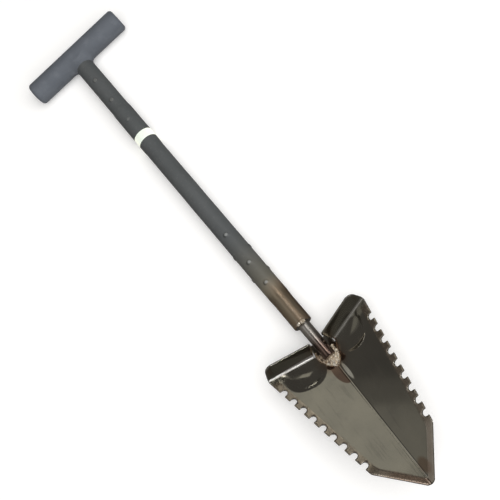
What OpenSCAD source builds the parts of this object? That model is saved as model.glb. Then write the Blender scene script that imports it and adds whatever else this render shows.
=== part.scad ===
// T-handled digging shovel for metal detecting.
// A V-folded serrated blade is welded to a short round stem. The stem is
// bushed and pinned into a tubular shaft, and a rubber T grip closes the top.
// The tool lies on its back along Y, as it rests on a table: the point is at
// the -Y end with the blade's hollow side up, the grip's ends point to -X and
// +X, and the grip and the blade's heel both touch Z = 0.

/* [Blade] */
// Thickness of the steel sheet
sheet_t = 2.5; // [1.5:0.1:4]
// Angle of each blade face above flat
face_angle = 23; // [10:0.5:35]
// Length of the crease from the foot step fold to the point
blade_len = 219; // [150:1:280]
// Half width of the blade at the fold, measured along its face
fold_half_w = 82.5; // [60:0.5:100]
// Half width of the blade at the shoulder, measured along its face
shoulder_half_w = 48.6; // [35:0.1:60]
// Distance from the fold to the shoulder, where the point begins
shoulder_dist = 172.5; // [120:0.5:200]
// Half width of the blunt point
point_half_w = 4; // [2:0.5:10]
// Inner radius of the bend along the crease
crease_r = 5; // [2:0.5:10]
// Width of the ground strip along the serrated sides
side_strip_w = 9.3; // [6:0.1:12]
// Width of the ground strip along the two cutting edges
point_strip_w = 8; // [5:0.5:12]
// Sheet thickness left at the ground edges
edge_t = 1.1; // [0.5:0.1:2]

/* [Teeth] */
// Number of gullets along each side
gullet_count = 9; // [4:1:9]
// Width of a gullet
gullet_w = 8; // [5:0.5:10]
// Depth of a gullet
gullet_depth = 7; // [5:0.5:9]
// Distance from the fold to the first gullet's middle
gullet_first = 24.5; // [20:0.5:30]
// Distance between gullets
gullet_pitch = 17.3; // [12:0.1:17.5]

/* [Foot steps] */
// Height of each step above the fold
step_h = 21; // [15:0.5:35]
// Angle through which a step is bent up
step_angle = 81; // [60:1:90]
// Distance from the crease to a step's inner end
step_start = 18; // [16:0.5:30]
// Inner radius of the step's fold
fold_r = 3; // [1:0.5:6]
// Radius of a step's outer corner
step_corner_r = 9; // [3:0.5:14]
// Length of the heel tongue that stays flat between the steps
tongue_len = 18; // [5:0.5:20]

/* [Pressed hollows] */
// Distance from the crease to the middle of a hollow
hollow_mid = 42; // [38:0.5:46]
// Length of a hollow along the fold
hollow_w = 54; // [40:1:60]
// Reach of a hollow from the fold towards the point
hollow_reach = 37; // [25:1:45]
// Depth of a hollow
hollow_depth = 3; // [1:0.5:4]

/* [Stem] */
// Diameter of the round stem
stem_d = 16; // [12:0.5:18]
// Angle between the shaft and the crease
stem_pitch = 19.5; // [10:0.5:25]
// Height of the stem's axis above the crease at the fold
stem_rise = 14.5; // [13:0.5:18]
// Distance the stem's lower end passes the fold
stem_past_fold = 16; // [8:0.5:16]
// Length of the stem inside the shaft
stem_in_shaft = 168; // [160:1:220]
// Distance from the fold to the shaft's mouth, along the stem
mouth_dist = 36.5; // [30:0.5:60]
// Thickness of the weld around the stem
weld_t = 4.5; // [3:0.5:6]

/* [Shaft] */
// Outer diameter of the shaft tube
tube_d = 25.4; // [24:0.1:26]
// Wall of the shaft and grip tubes
tube_wall = 2; // [1.5:0.1:3]
// Distance from the shaft's mouth to the middle of the grip
shaft_len = 516; // [510:1:700]
// Diameter of the cross pins
pin_d = 5; // [4:0.5:6]
// Rise of a pin's head above the tube
pin_head = 0.9; // [0.5:0.1:1.2]
// Thickness of the sleeve over a pin's head
pin_cover = 0.5; // [0.3:0.1:1]

/* [Sleeves] */
// Diameter over the lower sleeve
lower_sleeve_d = 26.4; // [26.2:0.1:27]
// Diameter over the marker ring and the sleeve ends beside it
ring_d = 27.4; // [27.2:0.1:31]
// Diameter over the upper sleeve beside the grip
upper_sleeve_d = 26.2; // [26.2:0.1:27]
// Width of the marker ring
ring_w = 13; // [8:0.5:20]
// Distance from the shaft's mouth to the marker ring
ring_dist = 337; // [300:1:340]
// Bare stretch of tube at the shaft's mouth
bare_len = 42; // [10:1:50]
// Length of the upper sleeve's thicker lower end
thick_len = 52; // [10:1:60]

/* [Grip] */
// Outer diameter of the rubber grip
grip_d = 34.5; // [32:0.5:40]
// Length of the grip from end to end
grip_len = 160; // [120:1:200]
// Diameter of the steel tube inside the grip
bar_d = 25.4; // [24:0.1:26]
// Thickness of the rubber over the grip's ends
end_cover = 3; // [2:0.5:5]
// Rounding of the grip's ends
grip_end_r = 5; // [2:0.5:8]
// Length of the slimmer waist in the grip's middle, where the shaft enters
waist_len = 40; // [36:1:48]
// Depth of the waist below the grip's ends
waist_depth = 0.3; // [0.2:0.05:0.5]
// Radius of the moulded root between grip and shaft
root_r = 4; // [2:0.5:4]

/* [Hidden] */
$fn = 64;
far = 300;
cut = 1;

// Radii of the tubes, sleeves and pins
tube_r = tube_d / 2;
bore_r = tube_r - tube_wall;
stem_r = stem_d / 2;
bar_r = bar_d / 2;
bar_bore_r = bar_r - tube_wall;
grip_r = grip_d / 2;
ring_r = ring_d / 2;
lower_r = lower_sleeve_d / 2;
upper_r = upper_sleeve_d / 2;
pin_r = pin_d / 2;
spigot_wall = 2.6;
spigot_len = 142;

// Bend along the crease, in the blade's own cross section
crease_mid_z = crease_r / cos(face_angle);
crease_out_r = crease_r + sheet_t;
heel_z = crease_mid_z - crease_out_r;

// Places along the shaft, counted from the fold
grip_dist = mouth_dist + shaft_len;
saddle_dist = grip_dist - bar_r;
root_dist = grip_dist - grip_r - root_r;
weld_neck = 6;
plug_head = 2;

// Cross pins, as distances from the shaft's mouth
front_pins = [69, 104, 153];
side_pins = [86, 125];
grip_pins = [376, 417, 458];

// Serrated side and cutting edge, as straight lines on one flat face
side_run = fold_half_w - shoulder_half_w;
side_len = sqrt(pow(side_run, 2) + pow(shoulder_dist, 2));
side_turn = atan(side_run / shoulder_dist);
point_round = 3;
point_run = shoulder_half_w - point_half_w;
point_drop = blade_len - shoulder_dist - point_round;
point_edge_len = sqrt(pow(point_run, 2) + pow(point_drop, 2));
point_turn = atan(point_run / point_drop);

// Bowl-shaped cutter whose cap is a pressed hollow
hollow_half = hollow_reach / 2;
bowl_r = (pow(hollow_half, 2) + pow(hollow_depth, 2)) / (2 * hollow_depth);
bowl_z = bowl_r - hollow_depth;

// The heel and the grip rest on the ground. The whole tool is turned until
// the line that touches both is level.
grip_at = [grip_dist * cos(stem_pitch), stem_rise + grip_dist * sin(stem_pitch)];
span = grip_at - [tongue_len, heel_z];
rest_angle = atan2(span[1], span[0]) - asin(grip_r / norm(span));
lift = tongue_len * sin(rest_angle) - heel_z * cos(rest_angle);
point_y = heel_z * sin(rest_angle) - blade_len * cos(rest_angle);
top_y = grip_at[0] * cos(rest_angle) + grip_at[1] * sin(rest_angle) + grip_r;
middle_y = (point_y + top_y) / 2;

// ---------------------------------------------------------------- placing

// Blade frame: origin on the crease at the fold, +Y towards the handle and
// +Z out of the hollow side
module in_blade_frame() {
    translate([0, -middle_y, lift]) rotate([-rest_angle, 0, 0]) children();
}

// Shaft frame: +Z along the shaft, -Y to the front, starting at a distance
// from the fold
module on_shaft(dist) {
    in_blade_frame()
        translate([0, 0, stem_rise])
            rotate([stem_pitch - 90, 0, 0])
                translate([0, 0, dist])
                    children();
}

// Shaft frame counted from the shaft's mouth
module in_shaft(dist) {
    on_shaft(mouth_dist + dist) children();
}

// Grip frame: origin in the middle of the grip, +Z along its axis to +X
module on_grip() {
    on_shaft(grip_dist) rotate([0, 90, 0]) children();
}

// Tilts a flat shape onto one face of the blade; side is 1 or -1.
module on_face(side) {
    mirror([side < 0 ? 1 : 0, 0, 0]) rotate([0, -face_angle, 0]) children();
}

module ring_wall(outer_r, inner_r, length) {
    difference() {
        cylinder(r = outer_r, h = length);
        translate([0, 0, -cut]) cylinder(r = inner_r, h = length + 2 * cut);
    }
}

// ------------------------------------------------------------------ blade

// Cross section of everything on the hollow side of a folded surface
module above_crease(bend_r) {
    bend_z = crease_mid_z - bend_r * cos(face_angle);
    bend_x = bend_r * sin(face_angle);
    rise = (far - bend_x) * tan(face_angle);
    polygon([
        [-far, bend_z + rise], [-bend_x, bend_z], [bend_x, bend_z],
        [far, bend_z + rise], [far, far], [-far, far]
    ]);
    translate([0, crease_mid_z]) circle(r = bend_r);
}

// Runs a cross section along the crease, from the tongue to past the point.
module along_crease() {
    translate([0, tongue_len + cut, 0])
        rotate([90, 0, 0])
            linear_extrude(tongue_len + blade_len + 2 * cut)
                children();
}

module folded_sheet() {
    along_crease()
        difference() {
            above_crease(crease_out_r);
            above_crease(crease_r);
        }
}

// Half of the blade's outline, laid flat, with the crease on X = 0
module half_outline() {
    tongue_half_w = step_start - sheet_t;
    difference() {
        union() {
            polygon([
                [-cut, 0],
                [fold_half_w, 0],
                [shoulder_half_w, -shoulder_dist],
                [point_half_w, point_round - blade_len],
                [point_half_w - point_round, -blade_len],
                [-cut, -blade_len]
            ]);
            translate([-cut, -cut]) square([tongue_half_w + cut, tongue_len + cut]);
        }
        for (index = [0 : gullet_count - 1]) gullet(gullet_first + index * gullet_pitch);
    }
}

// Round-bottomed slot, square to the serrated side
module gullet(dist) {
    bottom = gullet_w / 2 - gullet_depth;
    translate([fold_half_w, 0])
        rotate(-side_turn)
            translate([bottom, -dist]) {
                circle(d = gullet_w);
                translate([0, -gullet_w / 2]) square([gullet_depth + cut, gullet_w]);
            }
}

// Wedge ground off the hollow side along a straight edge of the sheet
module edge_wedge(length, strip_w) {
    slope = (sheet_t - edge_t) / strip_w;
    over = 2;
    rotate([90, 0, 0])
        linear_extrude(length)
            polygon([[-strip_w, 0], [over, -slope * (strip_w + over)], [over, far], [-strip_w, far]]);
}

module ground_strips() {
    translate([fold_half_w, 0, 0])
        rotate([0, 0, -side_turn])
            edge_wedge(side_len + cut, side_strip_w);
    translate([shoulder_half_w, -shoulder_dist, 0])
        rotate([0, 0, -point_turn])
            translate([0, cut, 0])
                edge_wedge(point_edge_len + 2 * point_round, point_strip_w);
}

// Round-bottomed channel with round ends, which cuts a hollow's cap
module bowl(radius) {
    reach = (hollow_w - hollow_reach) / 2;
    translate([hollow_mid, -hollow_half - cut, bowl_z]) {
        translate([-reach, 0, 0]) rotate([0, 90, 0]) cylinder(r = radius, h = 2 * reach);
        for (side = [-1, 1]) translate([side * reach, 0, 0]) sphere(r = radius);
    }
}

// Section across a foot step: a lap on the face, the bend and the flange
module step_section() {
    out_r = fold_r + sheet_t;
    translate([0, fold_r]) {
        translate([-cut, -out_r]) square([2 * cut, sheet_t]);
        difference() {
            circle(r = out_r);
            circle(r = fold_r);
            translate([-2 * out_r, -2 * out_r]) square([2 * out_r, 4 * out_r]);
            rotate(step_angle) translate([0, -2 * out_r]) square([2 * out_r, 4 * out_r]);
        }
        rotate(step_angle) translate([-cut, -out_r]) square([step_h - fold_r + cut, sheet_t]);
    }
}

// Rounds the corner of a step at one end; out is 1 or -1.
module step_corner(end_x, out, corner_r) {
    translate([0, 0, fold_r])
        rotate([step_angle, 0, 0])
            translate([end_x - out * corner_r, step_h - fold_r - corner_r, -far / 2])
                difference() {
                    translate([out > 0 ? 0 : -corner_r - cut, 0, 0])
                        cube([corner_r + cut, corner_r + cut, far]);
                    translate([0, 0, -cut]) cylinder(r = corner_r, h = far + 2 * cut);
                }
}

module foot_step() {
    difference() {
        translate([step_start, 0, 0])
            rotate([90, 0, 90])
                linear_extrude(fold_half_w - step_start)
                    step_section();
        step_corner(fold_half_w, 1, step_corner_r);
        step_corner(step_start, -1, sheet_t);
    }
}

module hollow_shell() {
    intersection() {
        translate([0, 0, -far]) linear_extrude(far) half_outline();
        difference() {
            bowl(bowl_r + sheet_t);
            bowl(bowl_r);
        }
    }
}

module blade() {
    color("dimgray")
        in_blade_frame() {
            difference() {
                intersection() {
                    folded_sheet();
                    union() for (side = [-1, 1]) on_face(side)
                        translate([0, 0, -far / 2]) linear_extrude(far) half_outline();
                }
                for (side = [-1, 1]) on_face(side) {
                    ground_strips();
                    bowl(bowl_r);
                }
            }
            for (side = [-1, 1]) on_face(side) {
                foot_step();
                hollow_shell();
            }
        }
}

// ------------------------------------------------------------- stem, welds

// Cradle of weld between the stem's lower half and the two faces
module blade_weld() {
    weld_r = stem_r + weld_t;
    weld_len = stem_past_fold - weld_t;
    color("darkgoldenrod")
        difference() {
            intersection() {
                in_blade_frame() along_crease() above_crease(crease_r);
                on_shaft(-stem_past_fold) {
                    sphere(r = weld_r);
                    cylinder(r = weld_r, h = weld_len);
                }
                on_shaft(-far / 2) translate([-far, -stem_r / 2, 0]) cube([2 * far, far, far]);
            }
            stem_bar();
            in_blade_frame() for (side = [-1, 1]) on_face(side) foot_step();
        }
}

module stem_bar() {
    chamfer = 1.5;
    on_shaft(-stem_past_fold) {
        cylinder(r1 = stem_r - chamfer, r2 = stem_r, h = chamfer);
        translate([0, 0, chamfer])
            cylinder(r = stem_r, h = stem_past_fold + mouth_dist + stem_in_shaft - chamfer);
    }
}

module stem_rod() {
    color("sienna")
        difference() {
            stem_bar();
            stem_pins_front();
            stem_pins_side();
        }
}

module stem_bush() {
    color("gray")
        difference() {
            in_shaft(0) ring_wall(bore_r, stem_r, stem_in_shaft);
            stem_pins_front();
            stem_pins_side();
        }
}

// Two pairs of stitch welds where the stem leaves the shaft, front and back
module tube_end_weld() {
    bead_r = 3.2;
    bead_turn = 28;
    bead_out = 1.5;
    bead_down = 0.5;
    color("silver")
        difference() {
            for (back = [0, 180], turn = [-bead_turn, bead_turn])
                in_shaft(-bead_down)
                    rotate(back + turn)
                        translate([0, -stem_r - bead_out, 0])
                            sphere(r = bead_r);
            stem_bar();
            in_shaft(0) cylinder(r = tube_r + bead_r, h = 3 * bead_r);
        }
}

// ------------------------------------------------------------------- shaft

module shaft_tube() {
    color("saddlebrown")
        difference() {
            in_shaft(0) ring_wall(tube_r, bore_r, saddle_dist - weld_neck - mouth_dist);
            stem_pins_front();
            stem_pins_side();
            handle_pins();
        }
}

// Cross pin through the shaft, front to back, with a head of the given rise
module cross_pin(head) {
    half = tube_r + head;
    rotate([90, 0, 0]) translate([0, 0, -half]) cylinder(r = pin_r, h = 2 * half);
}

module stem_pins_front() {
    color("slategray") for (dist = front_pins) in_shaft(dist) cross_pin(pin_head);
}

module stem_pins_side() {
    color("slategray") for (dist = side_pins) in_shaft(dist) rotate(90) cross_pin(pin_head);
}

module handle_pins() {
    color("slategray") for (dist = grip_pins) in_shaft(dist) cross_pin(pin_head);
}

// Raised skin where a sleeve passes over a pin's two heads
module pin_bump() {
    half = tube_r + pin_head + pin_cover;
    rotate([90, 0, 0]) translate([0, 0, -half]) cylinder(r = pin_r + 2 * pin_cover, h = 2 * half);
}

// ----------------------------------------------------------------- sleeves

module lower_sleeve() {
    length = ring_dist - bare_len;
    feather = 4;
    flare = 18;
    color("darkslategray")
        difference() {
            union() {
                in_shaft(bare_len)
                    rotate_extrude()
                        polygon([
                            [0, 0], [tube_r + pin_cover / 2, 0], [lower_r, feather],
                            [lower_r, length - flare], [ring_r, length - feather], [ring_r, length], [0, length]
                        ]);
                for (dist = front_pins) in_shaft(dist) pin_bump();
                for (dist = side_pins) in_shaft(dist) rotate(90) pin_bump();
            }
            in_shaft(0) cylinder(r = tube_r, h = ring_dist + cut);
            stem_pins_front();
            stem_pins_side();
        }
}

module marker_ring() {
    color("honeydew") in_shaft(ring_dist) ring_wall(ring_r, tube_r, ring_w);
}

module upper_sleeve() {
    start = ring_dist + ring_w;
    length = root_dist - mouth_dist - start;
    step = 4;
    color("darkslategray")
        difference() {
            union() {
                in_shaft(start)
                    rotate_extrude()
                        polygon([
                            [0, 0], [ring_r, 0], [ring_r, thick_len], [upper_r, thick_len + step],
                            [upper_r, length], [0, length]
                        ]);
                for (dist = grip_pins) in_shaft(dist) pin_bump();
            }
            in_shaft(start - cut) cylinder(r = tube_r, h = length + 2 * cut);
            handle_pins();
        }
}

// -------------------------------------------------------------------- grip

module bar_solid() {
    bar_len = grip_len - 2 * end_cover;
    on_grip() cylinder(r = bar_r, h = bar_len, center = true);
}

module handle_spigot() {
    color("gray")
        difference() {
            on_shaft(saddle_dist - spigot_len) ring_wall(bore_r, bore_r - spigot_wall, spigot_len + bar_r);
            bar_solid();
            handle_pins();
        }
}

// Fillet weld between the spigot and the crossbar tube
module handle_weld() {
    toe_r = bore_r + 0.5;
    top_r = tube_r - 0.2;
    color("silver")
        difference() {
            on_shaft(saddle_dist - weld_neck) {
                cylinder(r1 = toe_r, r2 = top_r, h = weld_neck);
                translate([0, 0, weld_neck]) cylinder(r = top_r, h = bar_r);
            }
            on_shaft(saddle_dist - spigot_len) cylinder(r = bore_r, h = spigot_len + bar_r + cut);
            bar_solid();
        }
}

module crossbar_tube() {
    bar_len = grip_len - 2 * (end_cover + plug_head);
    color("gray") on_grip() translate([0, 0, -bar_len / 2]) ring_wall(bar_r, bar_bore_r, bar_len);
}

module crossbar_plug(side) {
    plug_len = 14;
    plug_wall = 2;
    lap = plug_head / 4;
    color("black")
        on_grip()
            mirror([0, 0, side < 0 ? 1 : 0])
                translate([0, 0, grip_len / 2 - end_cover - plug_head]) {
                    cylinder(r = bar_r, h = plug_head);
                    translate([0, 0, -plug_len]) ring_wall(bar_bore_r, bar_bore_r - plug_wall, plug_len + lap);
                }
}

module crossbar_plug_left() {
    crossbar_plug(-1);
}

module crossbar_plug_right() {
    crossbar_plug(1);
}

// Moulded T: a round-ended bar with a hollow-cornered root onto the shaft
module crossbar_grip() {
    half = grip_len / 2;
    color("slategray")
        difference() {
            union() {
                on_grip() {
                    rotate_extrude() half_grip_profile(half);
                    mirror([0, 0, 1]) rotate_extrude() half_grip_profile(half);
                }
                on_shaft(root_dist) rotate_extrude() root_profile();
            }
            bar_solid();
            on_shaft(root_dist - cut) cylinder(r = tube_r, h = saddle_dist - root_dist + bar_r + cut);
        }
}

// Section of half the grip, from the middle of its waist to a rounded end
module half_grip_profile(half) {
    start = half - grip_end_r;
    taper = 4;
    waist_half = waist_len / 2;
    polygon([
        [0, 0], [grip_r - waist_depth, 0], [grip_r - waist_depth, waist_half],
        [grip_r, waist_half + taper], [grip_r, start], [0, start]
    ]);
    square([grip_r - grip_end_r, half]);
    intersection() {
        translate([grip_r - grip_end_r, start]) circle(r = grip_end_r);
        translate([0, start]) square([grip_r, grip_end_r]);
    }
}

// Half section of the moulded root: a hollow corner round the shaft
module root_profile() {
    difference() {
        square([upper_r + root_r, root_r + grip_r]);
        translate([upper_r + root_r, 0]) circle(r = root_r);
    }
}

blade();
blade_weld();
stem_rod();
stem_bush();
tube_end_weld();
shaft_tube();
stem_pins_front();
stem_pins_side();
lower_sleeve();
marker_ring();
upper_sleeve();
handle_spigot();
handle_pins();
handle_weld();
crossbar_tube();
crossbar_plug_left();
crossbar_plug_right();
crossbar_grip();
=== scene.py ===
"""Looks for the T-handled digging shovel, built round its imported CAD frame.

Lengths and places are millimetres in the blade's or the shaft's own frame, as in
the CAD, and row_point() turns them into metres in the row frame. Only materials,
lights and the camera use metres themselves.
"""
import math

import bmesh
import bpy
import numpy as np
from mathutils import Matrix, Vector
from mathutils.geometry import delaunay_2d_cdt


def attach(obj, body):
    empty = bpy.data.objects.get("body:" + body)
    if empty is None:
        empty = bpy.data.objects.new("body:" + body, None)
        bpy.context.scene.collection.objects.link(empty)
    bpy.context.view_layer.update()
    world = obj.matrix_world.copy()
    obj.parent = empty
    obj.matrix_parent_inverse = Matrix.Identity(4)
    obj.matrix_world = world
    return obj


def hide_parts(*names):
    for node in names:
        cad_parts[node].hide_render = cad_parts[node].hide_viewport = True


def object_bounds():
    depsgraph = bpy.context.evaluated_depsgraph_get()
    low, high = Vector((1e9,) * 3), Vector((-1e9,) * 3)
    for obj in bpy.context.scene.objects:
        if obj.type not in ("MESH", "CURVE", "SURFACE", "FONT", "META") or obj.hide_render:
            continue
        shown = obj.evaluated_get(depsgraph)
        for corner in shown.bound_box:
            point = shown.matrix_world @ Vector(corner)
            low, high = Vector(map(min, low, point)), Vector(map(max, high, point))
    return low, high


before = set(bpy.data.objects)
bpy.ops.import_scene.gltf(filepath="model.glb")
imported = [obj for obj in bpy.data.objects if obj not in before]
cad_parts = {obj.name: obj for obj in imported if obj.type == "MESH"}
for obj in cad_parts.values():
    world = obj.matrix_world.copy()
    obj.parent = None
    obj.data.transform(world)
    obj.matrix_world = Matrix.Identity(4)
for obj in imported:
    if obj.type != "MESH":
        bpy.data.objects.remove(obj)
CAD_LOW, CAD_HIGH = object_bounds()
MM = 0.001
RNG = np.random.default_rng(11)

# ---- dimensions ----

# Blade
SHEET_T = 2.5
FACE_ANGLE = math.radians(23)
BLADE_LEN = 219
FOLD_HALF_W = 82.5
SHOULDER_HALF_W = 48.6
SHOULDER_DIST = 172.5
SHOULDER_R = 9
POINT_HALF_W = 4
POINT_CORNER_R = 2.5
FOLD_CORNER_R = 2
CREASE_R = 5
SIDE_STRIP_W = 9.3
POINT_STRIP_W = 8
STRIP_CORNER_R = 24
GROUND_DEPTH = 1.4
GROUND_RUN_OUT = 16
GROUND_RIM = 0.3
EDGE_ROUND = 0.35
EDGE_WEAR_W = 1.1

# Teeth
GULLET_COUNT = 9
GULLET_W = 8
GULLET_DEPTH = 7
GULLET_FIRST = 24.5
GULLET_PITCH = 17.3
TOOTH_R = 0.8

# Foot steps and tongue
STEP_H = 21
STEP_ANGLE = math.radians(81)
STEP_START = 18
FOLD_R = 3
STEP_CORNER_R = 9
TONGUE_LEN = 18
TONGUE_CORNER_R = 2
SLIT_W = 2.5

# Band along the folds painted pale as a painted highlight, on a rougher finish, from its low border
# upwards
FOLD_BAND_LOW = -1.0
FOLD_BAND_W = 6.0
FOLD_BAND_NARROWING = 3.2
FOLD_BAND_SOFT = 1.2
FOLD_BAND_ON_RIGHT = 0.25

# Pressed hollows
HOLLOW_MID = 44
HOLLOW_BELOW_FOLD = 2
HOLLOW_R = 36
HOLLOW_DISH = 3.6
HOLLOW_LIP = 0.7
DISH_MID = 38
DISH_HALF_W = 30
HOLLOW_WALL = 8
HOLLOW_RUN_IN = 30
HOLLOW_SIDE = 12

# Stem and shaft, with distances from the fold
STEM_R = 8
STEM_PITCH = math.radians(19.5)
COS_PITCH, SIN_PITCH = math.cos(STEM_PITCH), math.sin(STEM_PITCH)
STEM_RISE = 14.5
STEM_LOW = -16
STEM_HIGH = 204.5
MOUTH = 36.5
GRIP_DIST = MOUTH + 516
TUBE_R = 12.7
TUBE_WALL = 2
TUBE_TOP_GAP = 6

# Pins, with distances from the shaft's mouth, and the bumps that they make in a sleeve
FRONT_PINS = (69, 104, 153)
SIDE_PINS = (86, 125)
GRIP_PINS = (376, 417, 458)
BUMP_R = 4.0
BUMP_SLOPE_W = 2.7
CREST_START = 0.7  # the share of a bump's height above which its crest gets a painted highlight
SHADE_OFFSET = 1.8

# Sleeves, with distances from the shaft's mouth
SLEEVE_START = 42
RING_DIST = 337
RING_W = 13
LOWER_R = 13.2
RING_R = 13.7
UPPER_R = 13.1
THICK_LEN = 52
SKIN_MIN = 0.12
SKIN_EDGE = 0.15
SKIN_WAVE = 0.05
FEATHER_LEN = 9
FLARE_START = 19
FLARE_LEN = 15

# Grip
GRIP_R = 17.25
GRIP_LEN = 160
GRIP_END_R = 5
ROOT_R = 4
ROOT_SWELL = 0.35
ROOT_BLEND = 9
GRIP_SKIN_DEPTH = 3.2

# Spacing of the points that make up the sheet
OUTLINE_STEP = 1.5
OUTLINE_ARC_STEP = 0.45
STRIP_STEP = 2.0
FINE_STEP = 0.95
COARSE_COLUMN_STEP = 1.6
COARSE_ROW_STEP = 1.9
BORDER_GAP = 0.55
LINE_GAP = 0.5
ARC_GAP = 0.33
LONGEST_LINK = 4

# The whole tool lies turned about X, so that heel and grip both touch Z = 0.
CREASE_MID_Z = CREASE_R / math.cos(FACE_ANGLE)
HEEL_Z = CREASE_MID_Z - CREASE_R - SHEET_T
GRIP_Y = GRIP_DIST * COS_PITCH
GRIP_Z = STEM_RISE + GRIP_DIST * SIN_PITCH
SPAN = math.hypot(GRIP_Y - TONGUE_LEN, GRIP_Z - HEEL_Z)
REST = math.atan2(GRIP_Z - HEEL_Z, GRIP_Y - TONGUE_LEN) - math.asin(GRIP_R / SPAN)
COS_REST, SIN_REST = math.cos(REST), math.sin(REST)
LIFT = TONGUE_LEN * SIN_REST - HEEL_Z * COS_REST
POINT_Y = HEEL_Z * SIN_REST - BLADE_LEN * COS_REST
TOP_Y = GRIP_Y * COS_REST + GRIP_Z * SIN_REST + GRIP_R
MIDDLE_Y = (POINT_Y + TOP_Y) / 2

# Close to zero: a profile's radius on the axis, and what keeps two arcs or skins apart
AXIS_R = 0.02
SLACK = 0.01

# ---- places ----


def row_point(x, along, up):
    """Blade frame (origin on the crease at the fold, +along to the handle) to the row frame."""
    x, along, up = np.broadcast_arrays(x, along, up)
    y = along * COS_REST + up * SIN_REST - MIDDLE_Y
    z = up * COS_REST - along * SIN_REST + LIFT
    return np.stack([x, y, z], axis=-1) * MM


def shaft_point(dist, x, front):
    """Shaft frame (dist from the fold, front is the hollow side) to the row frame."""
    along = dist * COS_PITCH - front * SIN_PITCH
    up = STEM_RISE + dist * SIN_PITCH + front * COS_PITCH
    return row_point(x, along, up)


def row_direction(x, along, up):
    """A direction in the blade frame, turned to the row frame."""
    return (row_point(x, along, up) - row_point(0, 0, 0)) / MM


def tilted(u, height):
    """How far across and up a point of one face is, from its place in the face's own plane."""
    sin, cos = math.sin(FACE_ANGLE), math.cos(FACE_ANGLE)
    return u * cos - height * sin, u * sin + height * cos


def on_face(u, v, side, height=0.0):
    """A point above one face of the blade: u out from the crease, v along it, side -1 or 1."""
    across, up = tilted(u, height)
    return row_point(side * across, v, up)


LEFT, RIGHT = -1, 1
WELD_MIDDLE = row_point(0, -14, 6)
WELD_ARM_MIDDLE = on_face(16, -4, LEFT)
MOUTH_MIDDLE = shaft_point(MOUTH, 0, 0)
LOBE_MIDDLE = on_face(1, -34, LEFT)
WEDGE_MIDDLE = on_face(5.4, -42, RIGHT)
POINT_STAIN_MIDDLE = on_face(7, -198, RIGHT)
BURNT_EDGE_MIDDLE = on_face(20, -205, LEFT)


# ---- mesh helpers ----


def new_object(name, data):
    """An object in the scene that shows a mesh, light or camera."""
    made = bpy.data.objects.new(name, data)
    bpy.context.scene.collection.objects.link(made)
    return made


def mesh_object(name, points, faces):
    mesh = bpy.data.meshes.new(name)
    mesh.from_pydata([tuple(p) for p in points], [], [tuple(f) for f in faces])
    mesh.validate()
    mesh.update()
    mesh.shade_smooth()
    return new_object(name, mesh)


def bmesh_object(name, work):
    """An object made from a finished bmesh, which is freed."""
    mesh = bpy.data.meshes.new(name)
    work.to_mesh(mesh)
    work.free()
    return new_object(name, mesh)


def write_masks(piece, masks):
    """Stores named values from 0 to 1 on the points of a piece, for its material to read."""
    for name, values in masks.items():
        attribute = piece.data.attributes.new(name, "FLOAT", "POINT")
        attribute.data.foreach_set("value", values.ravel().astype(np.float32))


def finish_piece(piece, node, material):
    """Rides a finished piece on the body, in place of its CAD node."""
    piece.data.materials.clear()
    piece.data.materials.append(material)
    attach(piece, "root")
    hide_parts(node)


def outward(piece, ends_open=False):
    """Turns all faces of a mesh outwards, after closing its ends where they are open."""
    work = bmesh.new()
    work.from_mesh(piece.data)
    if ends_open:
        bmesh.ops.remove_doubles(work, verts=work.verts, dist=1e-6)
        bmesh.ops.holes_fill(work, edges=work.edges, sides=0)
    bmesh.ops.recalc_face_normals(work, faces=work.faces)
    work.to_mesh(piece.data)
    work.free()


def grid_faces(rows, columns):
    """Quads of a grid that closes on itself round its columns."""
    faces = []
    for here in range(0, (rows - 1) * columns, columns):
        above = here + columns
        for j in range(columns):
            k = (j + 1) % columns
            faces.append((here + j, here + k, above + k, above + j))
    return faces


def arc(centre, radius, start, stop, count):
    """Points of an arc in the plane, from one angle to another, in degrees."""
    angles = np.radians(np.linspace(start, stop, count))
    return [(centre[0] + radius * math.cos(t), centre[1] + radius * math.sin(t)) for t in angles]


def densify(profile, longest):
    """Splits a profile's long straight lines."""
    out = [profile[0]]
    for a, b in zip(profile, profile[1:]):
        count = max(1, math.ceil(math.dist(a, b) / longest))
        for i in range(1, count + 1):
            out.append((a[0] + (b[0] - a[0]) * i / count, a[1] + (b[1] - a[1]) * i / count))
    return out


def turned(profile, columns):
    """Distance, angle and radius of each point of a profile turned round the shaft's axis."""
    dist, radius = (np.array(c)[:, None] for c in zip(*profile))
    angle = np.arange(columns)[None, :] * 2 * math.pi / columns
    return np.broadcast_arrays(dist, angle, radius)


def lathe(name, profile, columns, closed, shape=None):
    """A piece made by turning a profile of (distance from the fold, radius).

    A closed profile makes a ring-shaped solid, and an open one runs from axis to axis.
    shape(dist, angle, radius) may move the surface in or out.
    """
    dist, angle, radius = turned(profile, columns)
    if shape:
        radius = shape(dist, angle, radius)
    points = shaft_point(dist, radius * np.sin(angle), radius * np.cos(angle)).reshape(-1, 3)
    faces = grid_faces(len(profile), columns)
    if closed:
        last = len(points) - columns
        for j in range(columns):
            k = (j + 1) % columns
            faces.append((last + j, last + k, k, j))
    made = mesh_object(name, points, faces)
    outward(made, ends_open=not closed)
    made.data.shade_smooth()
    made.data.set_sharp_from_angle(angle=math.radians(40))
    return made


def smooth_step(t):
    t = np.clip(t, 0, 1)
    return t * t * (3 - 2 * t)


def smooth_min(a, b, width):
    h = np.clip(0.5 + 0.5 * (b - a) / width, 0, 1)
    return b + (a - b) * h - width * h * (1 - h)


# ---- material helpers ----


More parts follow.
